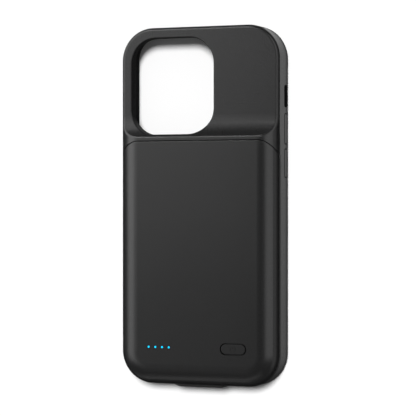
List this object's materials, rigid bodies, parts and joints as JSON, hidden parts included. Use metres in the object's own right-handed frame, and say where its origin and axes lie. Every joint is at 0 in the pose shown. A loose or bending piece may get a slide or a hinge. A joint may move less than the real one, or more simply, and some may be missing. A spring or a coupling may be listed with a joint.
{
  "type": "battery charging case",
  "caption": "Slim sleeve with a cell in its padded back that holds and charges a handheld device, with a camera opening, side keys, power button and charge lights.",
  "frame": {"origin": "centre of the footprint of the front rim, on the surface that the empty sleeve lies on", "axes": "+X to the right as seen from behind, +Y up the length to the camera end, +Z from the front rim to the back of the battery cover"},
  "size_m": [0.0746, 0.1588, 0.0168],
  "materials": {
    "frame_soft_touch": "soft-touch black, fine matte grain",
    "cover_soft_touch": "soft-touch black, fine matte grain",
    "plate_plastic": "black moulded plastic",
    "liner_microfibre": "charcoal short-pile microfibre",
    "button_rubber": "soft-touch black",
    "key_plastic": "soft-touch black",
    "guide_clear": "clear, lit cyan",
    "lamp_lens": "pale lamp package",
    "board_resin": "green board resin",
    "chip_resin": "black moulding compound",
    "inductor_ferrite": "dark grey ferrite",
    "capacitor_ceramic": "tan ceramic",
    "pouch_foil": "laminated foil pouch",
    "tape_film": "white tape",
    "tab_nickel": "nickel strip",
    "screw_steel": "plated steel",
    "shell_steel": "drawn stainless shell",
    "contact_gold": "gold plated contacts",
    "tongue_plastic": "black moulded tongue",
    "flex_film": "amber polyimide film"
  },
  "bodies": {
    "sleeve": {"bumper_frame": "frame_soft_touch", "rear_cover": "cover_soft_touch", "mid_plate": "plate_plastic", "pocket_liner": "liner_microfibre", "light_guide": "guide_clear", "indicator_leds": "lamp_lens", "main_board": "board_resin", "plug_board": "board_resin", "cell_board": "board_resin", "control_chip": "chip_resin", "power_switch": "chip_resin", "power_inductors": "inductor_ferrite", "filter_capacitors": "capacitor_ceramic", "battery_cell": "pouch_foil", "cell_tapes": "tape_film", "cell_tabs": "tab_nickel", "board_screws": "screw_steel", "output_plug": "shell_steel", "input_socket": "shell_steel", "plug_contacts": "contact_gold", "socket_tongue": "tongue_plastic", "flex_cable": "flex_film"},
    "power_button": {"power_button": "button_rubber"},
    "volume_up_key": {"volume_up_key": "key_plastic"},
    "volume_down_key": {"volume_down_key": "key_plastic"},
    "side_key": {"side_key": "key_plastic"}
  },
  "joints": [
    {"name": "power_press", "type": "slide", "parent": "sleeve", "child": "power_button", "axis": [0, 0, -1], "range_m": [0, 0.0004], "stiffness_N_per_m": 2500},
    {"name": "volume_up_press", "type": "slide", "parent": "sleeve", "child": "volume_up_key", "axis": [-1, 0, 0], "range_m": [0, 0.0004], "stiffness_N_per_m": 3000},
    {"name": "volume_down_press", "type": "slide", "parent": "sleeve", "child": "volume_down_key", "axis": [-1, 0, 0], "range_m": [0, 0.0004], "stiffness_N_per_m": 3000},
    {"name": "side_press", "type": "slide", "parent": "sleeve", "child": "side_key", "axis": [1, 0, 0], "range_m": [0, 0.0004], "stiffness_N_per_m": 3000}
  ]
}
